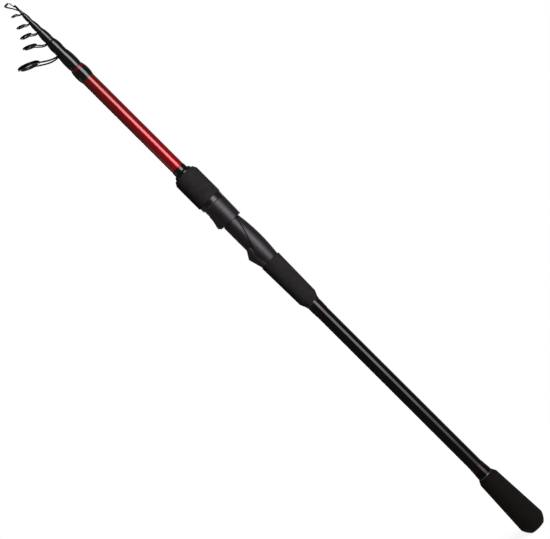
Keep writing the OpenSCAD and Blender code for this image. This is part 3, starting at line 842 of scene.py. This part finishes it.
@dataclass
class Tip:
    """Solid tip with its tip-top.

    Attributes:
        paint: Finishes.
        top_radius: Outer radius of its head.
        neck: Straight length of the tip below the head.
        gap: Gap between its wrap and the section behind it.
        core: Radius of the fine hole that the turning leaves.
    """

    paint: Paint
    top_radius: float = 0.65 * MM
    neck: float = 4 * MM
    gap: float = 0.3 * MM
    core: float = 0.02 * MM

    def build(self) -> None:
        """Turn the tip, solid but for a hair-fine hole."""
        low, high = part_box("tip_blank")
        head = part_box("tip_wrap")[0].z - self.gap - self.neck
        piece = turned("tip_blank_ground", [
            (self.core, low.z),
            (high.x, low.z),
            (self.top_radius, head),
            (self.top_radius, high.z),
            (self.core, high.z),
        ], segments=TIP_SEGMENTS)
        self.paint.piece(piece, GROUND_CARBON)
        stand_in(piece, "tip_section", "tip_blank")

    def dress(self) -> None:
        """Finish the tip-top."""
        self.paint.node("tip_wrap", WRAP_LACQUER)
        self.paint.node("tip_top_frame", GUIDE_WIRE)
        self.paint.node("tip_top_ring", RING_CERAMIC)


@dataclass
class Softbox:
    """Rectangular lamp that faces the rod's axis.

    Attributes:
        name: Name of the lamp.
        azimuth: Direction from the rod, in degrees to the right of the camera.
        distance: Distance from the rod's axis.
        height: Height of its centre.
        width: Width.
        tall: Height of its face.
        radiance: Brightness of its face, where 1 is white.
    """

    name: str
    azimuth: float
    distance: float
    height: float
    width: float
    tall: float
    radiance: float

    def place(self) -> None:
        """Add the lamp."""
        lamp = bpy.data.lights.new(self.name, "AREA")
        lamp.shape = "RECTANGLE"
        lamp.size, lamp.size_y = self.width, self.tall
        lamp.energy = self.radiance * math.pi * self.width * self.tall
        obj = bpy.data.objects.new(self.name, lamp)
        angle = math.radians(self.azimuth)
        away = Vector((math.sin(angle), -math.cos(angle), 0.0))
        obj.location = away * self.distance + Vector((0.0, 0.0, self.height))
        obj.rotation_mode = "QUATERNION"
        obj.rotation_quaternion = away.to_track_quat("Z", "Y")
        obj.visible_camera = False
        bpy.context.scene.collection.objects.link(obj)


@dataclass
class Studio:
    """Floor, world, lamps and camera.

    Attributes:
        picture: Width and height of the picture, in pixels.
        pixel: Size of one pixel at the rod's axis.
        distance: Distance of the camera from the rod's axis.
        aim: Point on the rod's plane at the picture's centre, as X and Z.
        roll: Angle of the rod's axis from the picture's upright, in degrees.
        ambient: Brightness of the world as light on the object.
        surround: Brightness of the world as the camera, gloss and glass see it beside the rod.
        fade: Shares of a direction along +Y at which the world starts to brighten and is white.
        glow: Brightness of the floor where no lamp reaches it.
        floor_share: Share of the lamps' light that the floor adds to that.
        floor_bounce: Brightness of the floor as light on the object.
        floor_radius: Radius of the round floor.
        floor_level: Height of the floor, just clear of the butt end.
        floor_sides: Number of steps round the floor.
        sensor: Width of the camera's sensor, in its own millimetres.
        clip: Distance that the camera sees.
    """

    picture: tuple[int, int] = (550, 539)
    pixel: float = 1.07 * MM
    distance: float = 1.66
    aim: Point = (-3.26 * MM, 393.2 * MM)
    roll: float = 45.105
    ambient: float = 0.03
    surround: float = 0.1
    fade: tuple[float, float] = (0.65, 0.95)
    glow: float = 0.86
    floor_share: float = 0.4
    floor_bounce: float = 0.8
    floor_radius: float = 0.35
    floor_level: float = -0.2 * MM
    floor_sides: int = 96
    sensor: float = 36.0
    clip: float = 100.0

    def floor_white(self) -> bpy.types.Material:
        """White of the floor, which keeps the object's shadow.

        Returns:
            The new material.
        """
        graph = ShaderGraph("floor_white")
        graph.shader.inputs["Base Color"].default_value = (*[self.floor_bounce] * 3, 1.0)
        graph.shader.inputs["Roughness"].default_value = FLOOR_ROUGHNESS
        graph.shader.inputs["Specular IOR Level"].default_value = 0.0
        glow = graph.add("ShaderNodeEmission")
        glow.inputs["Strength"].default_value = self.glow
        dimmed = graph.add("ShaderNodeBsdfDiffuse")
        dimmed.inputs["Color"].default_value = (*[self.floor_share] * 3, 1.0)
        both = graph.add("ShaderNodeAddShader")
        graph.link(glow.outputs["Emission"], both.inputs[0])
        graph.link(dimmed.outputs["BSDF"], both.inputs[1])
        pick = graph.add("ShaderNodeMixShader")
        graph.link(self.seen(graph.tree), pick.inputs["Fac"])
        graph.link(graph.shader.outputs["BSDF"], pick.inputs[1])
        graph.link(both.outputs["Shader"], pick.inputs[2])
        graph.link(pick.outputs["Shader"], graph.surface)
        return graph.material

    @staticmethod
    def seen(tree: bpy.types.NodeTree) -> Socket:
        """Factor that is 1 for rays of the camera, of gloss and of glass.

        Args:
            tree: Node tree of a material or of the world.

        Returns:
            The factor.
        """
        path = tree.nodes.new("ShaderNodeLightPath")
        factor = path.outputs["Is Camera Ray"]
        for kind in ("Is Glossy Ray", "Is Transmission Ray"):
            either = tree.nodes.new("ShaderNodeMath")
            either.operation = "MAXIMUM"
            tree.links.new(factor, either.inputs[0])
            tree.links.new(path.outputs[kind], either.inputs[1])
            factor = either.outputs["Value"]
        return factor

    def build_floor(self) -> None:
        """Lay the round floor under the butt end."""
        turns = [2 * math.pi * k / self.floor_sides for k in range(self.floor_sides)]
        radius = self.floor_radius
        rim = [(radius * math.cos(turn), radius * math.sin(turn), self.floor_level) for turn in turns]
        mesh = bpy.data.meshes.new("floor")
        mesh.from_pydata(rim, [], [range(len(rim))])
        floor = bpy.data.objects.new("floor", mesh)
        bpy.context.scene.collection.objects.link(floor)
        floor.data.materials.append(self.floor_white())

    def build_world(self) -> None:
        """Set the world, white behind the rod and grey elsewhere, and dimmer as light on the object."""
        world = bpy.data.worlds.new("studio")
        world.use_nodes = True
        tree = world.node_tree
        split = tree.nodes.new("ShaderNodeSeparateXYZ")
        tree.links.new(tree.nodes.new("ShaderNodeTexCoord").outputs["Generated"], split.inputs["Vector"])
        shown = tree.nodes.new("ShaderNodeMapRange")
        shown.interpolation_type = "SMOOTHSTEP"
        shown.inputs["From Min"].default_value, shown.inputs["From Max"].default_value = self.fade
        shown.inputs["To Min"].default_value = self.surround
        tree.links.new(split.outputs["Y"], shown.inputs["Value"])
        strength = tree.nodes.new("ShaderNodeMapRange")
        strength.inputs["To Min"].default_value = self.ambient
        tree.links.new(self.seen(tree), strength.inputs["Value"])
        tree.links.new(shown.outputs["Result"], strength.inputs["To Max"])
        background = tree.nodes["Background"]
        background.inputs["Color"].default_value = (1.0, 1.0, 1.0, 1.0)
        tree.links.new(strength.outputs["Result"], background.inputs["Strength"])
        bpy.context.scene.world = world

    def light(self) -> None:
        """Place the softboxes, of which the key has steps that dim towards the butt end."""
        for name, height, tall, radiance in (
            ("key", 0.97, 1.76, 4.9),
            ("key_upper_hem", 0.04, 0.1, 3.7),
            ("key_hem", -0.06, 0.1, 2.5),
            ("key_lower_hem", -0.36, 0.5, 1.6),
        ):
            Softbox(
                name, azimuth=32, distance=1.5, height=height, width=1.0, tall=tall, radiance=radiance,
            ).place()
        Softbox("side", azimuth=-92, distance=1.8, height=0.6, width=1.4, tall=0.4, radiance=0.2).place()
        Softbox("back", azimuth=190, distance=1.5, height=0.7, width=0.7, tall=1.8, radiance=3.0).place()

    def camera(self) -> None:
        """Place the camera so that the rod lies across the picture as photographed."""
        data = bpy.data.cameras.new("camera")
        data.sensor_width = self.sensor
        data.lens = self.distance / self.pixel * data.sensor_width / self.picture[0]
        data.clip_end = self.clip
        obj = bpy.data.objects.new("camera", data)
        x, z = self.aim
        upright = Matrix.Rotation(math.radians(90.0), 4, "X")
        roll = Matrix.Rotation(math.radians(-self.roll), 4, "Z")
        obj.matrix_world = Matrix.Translation((x, -self.distance, z)) @ (upright @ roll)
        bpy.context.scene.collection.objects.link(obj)
        bpy.context.scene.camera = obj

    def build(self) -> None:
        """Set up the floor, the world, the light and the camera."""
        self.build_floor()
        self.build_world()
        self.light()
        self.camera()
        bpy.context.scene.view_settings.view_transform = "Standard"


def main() -> None:
    """Build and dress the rod from the butt end to the tip, then set up the studio."""
    logging.basicConfig(level=logging.INFO, format="%(name)s: %(message)s")
    paint = Paint()
    butt = ButtSection(paint)
    butt.build()
    butt.build_foregrip_wrap()
    butt.dress()
    ButtKnob(paint).build()
    ButtPlug(paint).dress()
    clamp = ReelClamp(paint)
    clamp.build()
    clamp.dress()
    for number, top_radius, wall in SLIDING_SECTIONS:
        section = SlidingSection(paint, number, top_radius, wall)
        section.build()
        section.dress()
    tip = Tip(paint)
    tip.build()
    tip.dress()
    Studio().build()


if __name__ == "__main__":
    main()
